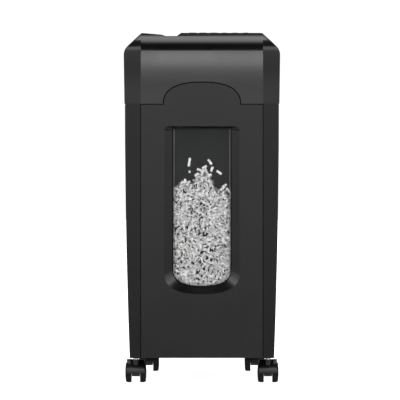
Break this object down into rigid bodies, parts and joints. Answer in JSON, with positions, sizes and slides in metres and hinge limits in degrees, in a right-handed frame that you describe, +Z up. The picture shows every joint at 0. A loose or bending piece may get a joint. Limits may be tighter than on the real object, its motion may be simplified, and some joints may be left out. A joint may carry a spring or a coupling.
{
  "type": "paper shredder",
  "caption": "Upright office paper shredder with a top feed slot, a pull-out bin with a clear window, and twin-wheel casters.",
  "frame": {"origin": "on the floor, under the centre of the bounding box", "axes": "+Z up; -Y is the narrow front with the bin window; +X is to the right when facing the front"},
  "size_m": [0.2364, 0.345, 0.5303],
  "materials": {
    "cabinet_black": "satin",
    "bin_front_black": "satin",
    "head_black": "satin",
    "deck_black": "matte",
    "button_black": "satin",
    "indicator_lens": "gloss",
    "tub_black": "satin",
    "pane_clear": "gloss",
    "shreds_white": "matte",
    "caster_black": "satin",
    "wheel_black": "satin",
    "pin_steel": "satin",
    "plate_steel": "satin",
    "cutter_steel": "satin",
    "gear_steel": "satin",
    "gear_nylon": "satin",
    "bush_bronze": "satin",
    "comb_plastic": "matte",
    "motor_lamination": "satin",
    "motor_steel": "satin",
    "board_green": "satin",
    "sensor_black": "matte"
  },
  "bodies": {
    "cabinet": {"left_side_panel": "cabinet_black", "right_side_panel": "cabinet_black", "rear_panel": "cabinet_black", "base_tray": "cabinet_black", "bin_rails": "cabinet_black", "housing_screws": "pin_steel", "head_cover": "head_black", "head_base": "cabinet_black", "feed_throat": "deck_black", "control_deck": "deck_black", "indicator_lenses": "indicator_lens", "cord_gland": "deck_black", "rocker_housing": "deck_black", "front_bearing_plate": "plate_steel", "rear_bearing_plate": "plate_steel", "gear_cover_plate": "plate_steel", "frame_tie_rods": "pin_steel", "idler_pin": "pin_steel", "shaft_bushes": "bush_bronze", "stripper_combs": "comb_plastic", "motor_stator": "motor_lamination", "motor_end_caps": "motor_steel", "control_board": "board_green", "paper_sensor": "sensor_black", "bin_switch": "sensor_black"},
    "bin": {"bin_front_panel": "bin_front_black", "bin_tub": "tub_black", "window_pane": "pane_clear", "shredded_paper": "shreds_white"},
    "power_button": {"power_button": "button_black"},
    "reverse_button": {"reverse_button": "button_black"},
    "forward_button": {"forward_button": "button_black"},
    "rocker": {"rocker_switch": "button_black"},
    "cutter_a": {"cutter_shaft_a": "cutter_steel", "cutter_discs_a": "cutter_steel", "sync_gear_a": "gear_steel", "final_gear": "gear_steel"},
    "cutter_b": {"cutter_shaft_b": "cutter_steel", "cutter_discs_b": "cutter_steel", "sync_gear_b": "gear_steel"},
    "idler": {"reduction_gear": "gear_nylon"},
    "rotor": {"motor_rotor": "motor_steel", "cooling_fan": "comb_plastic"},
    "caster_fl": {"caster_yoke_fl": "caster_black", "caster_pins_fl": "pin_steel"},
    "wheel_fl_outer": {"wheel_fl_outer": "wheel_black"},
    "wheel_fl_inner": {"wheel_fl_inner": "wheel_black"},
    "caster_fr": {"caster_yoke_fr": "caster_black", "caster_pins_fr": "pin_steel"},
    "wheel_fr_outer": {"wheel_fr_outer": "wheel_black"},
    "wheel_fr_inner": {"wheel_fr_inner": "wheel_black"},
    "caster_rl": {"caster_yoke_rl": "caster_black", "caster_pins_rl": "pin_steel"},
    "wheel_rl_outer": {"wheel_rl_outer": "wheel_black"},
    "wheel_rl_inner": {"wheel_rl_inner": "wheel_black"},
    "caster_rr": {"caster_yoke_rr": "caster_black", "caster_pins_rr": "pin_steel"},
    "wheel_rr_outer": {"wheel_rr_outer": "wheel_black"},
    "wheel_rr_inner": {"wheel_rr_inner": "wheel_black"}
  },
  "joints": [
    {"name": "bin_slide", "type": "slide", "parent": "cabinet", "child": "bin", "axis": [0, -1, 0], "range_m": [0, 0.3]},
    {"name": "power_press", "type": "slide", "parent": "cabinet", "child": "power_button", "axis": [0, 0, -1], "range_m": [0, 0.0009], "stiffness_N_per_m": 400, "springref_m": -0.0008},
    {"name": "reverse_press", "type": "slide", "parent": "cabinet", "child": "reverse_button", "axis": [0, 0, -1], "range_m": [0, 0.0009], "stiffness_N_per_m": 400, "springref_m": -0.0008},
    {"name": "forward_press", "type": "slide", "parent": "cabinet", "child": "forward_button", "axis": [0, 0, -1], "range_m": [0, 0.0009], "stiffness_N_per_m": 400, "springref_m": -0.0008},
    {"name": "rocker_tip", "type": "hinge", "parent": "cabinet", "child": "rocker", "pos_m": [-0.062, 0.1635, 0.455], "axis": [-1, 0, 0], "range_deg": [0, 14]},
    {"name": "cutter_a_spin", "type": "hinge", "parent": "cabinet", "child": "cutter_a", "pos_m": [-0.0305, 0, 0.46], "axis": [0, 1, 0], "continuous": true},
    {"name": "cutter_b_spin", "type": "hinge", "parent": "cabinet", "child": "cutter_b", "pos_m": [-0.0595, 0, 0.46], "axis": [0, 1, 0], "continuous": true},
    {"name": "idler_spin", "type": "hinge", "parent": "cabinet", "child": "idler", "pos_m": [0.00762, 0, 0.4688], "axis": [0, 1, 0], "continuous": true},
    {"name": "rotor_spin", "type": "hinge", "parent": "cabinet", "child": "rotor", "pos_m": [0.03723, 0, 0.46331], "axis": [0, 1, 0], "continuous": true},
    {"name": "swivel_fl", "type": "hinge", "parent": "cabinet", "child": "caster_fl", "pos_m": [-0.1002, -0.135, 0.034], "axis": [0, 0, 1], "continuous": true},
    {"name": "roll_fl_outer", "type": "hinge", "parent": "caster_fl", "child": "wheel_fl_outer", "pos_m": [-0.1002, -0.124, 0.0156], "axis": [1, 0, 0], "continuous": true},
    {"name": "roll_fl_inner", "type": "hinge", "parent": "caster_fl", "child": "wheel_fl_inner", "pos_m": [-0.1002, -0.124, 0.0156], "axis": [1, 0, 0], "continuous": true},
    {"name": "swivel_fr", "type": "hinge", "parent": "cabinet", "child": "caster_fr", "pos_m": [0.1002, -0.135, 0.034], "axis": [0, 0, 1], "continuous": true},
    {"name": "roll_fr_outer", "type": "hinge", "parent": "caster_fr", "child": "wheel_fr_outer", "pos_m": [0.1002, -0.124, 0.0156], "axis": [1, 0, 0], "continuous": true},
    {"name": "roll_fr_inner", "type": "hinge", "parent": "caster_fr", "child": "wheel_fr_inner", "pos_m": [0.1002, -0.124, 0.0156], "axis": [1, 0, 0], "continuous": true},
    {"name": "swivel_rl", "type": "hinge", "parent": "cabinet", "child": "caster_rl", "pos_m": [-0.0835, 0.13, 0.034], "axis": [0, 0, 1], "continuous": true},
    {"name": "roll_rl_outer", "type": "hinge", "parent": "caster_rl", "child": "wheel_rl_outer", "pos_m": [-0.0835, 0.141, 0.0156], "axis": [1, 0, 0], "continuous": true},
    {"name": "roll_rl_inner", "type": "hinge", "parent": "caster_rl", "child": "wheel_rl_inner", "pos_m": [-0.0835, 0.141, 0.0156], "axis": [1, 0, 0], "continuous": true},
    {"name": "swivel_rr", "type": "hinge", "parent": "cabinet", "child": "caster_rr", "pos_m": [0.0835, 0.13, 0.034], "axis": [0, 0, 1], "continuous": true},
    {"name": "roll_rr_outer", "type": "hinge", "parent": "caster_rr", "child": "wheel_rr_outer", "pos_m": [0.0835, 0.141, 0.0156], "axis": [1, 0, 0], "continuous": true},
    {"name": "roll_rr_inner", "type": "hinge", "parent": "caster_rr", "child": "wheel_rr_inner", "pos_m": [0.0835, 0.141, 0.0156], "axis": [1, 0, 0], "continuous": true}
  ],
  "couplings": [
    {"joint": "cutter_b_spin", "follows": "cutter_a_spin", "ratio": -1},
    {"joint": "idler_spin", "follows": "cutter_a_spin", "ratio": -3.3333},
    {"joint": "rotor_spin", "follows": "cutter_a_spin", "ratio": 13.333}
  ]
}
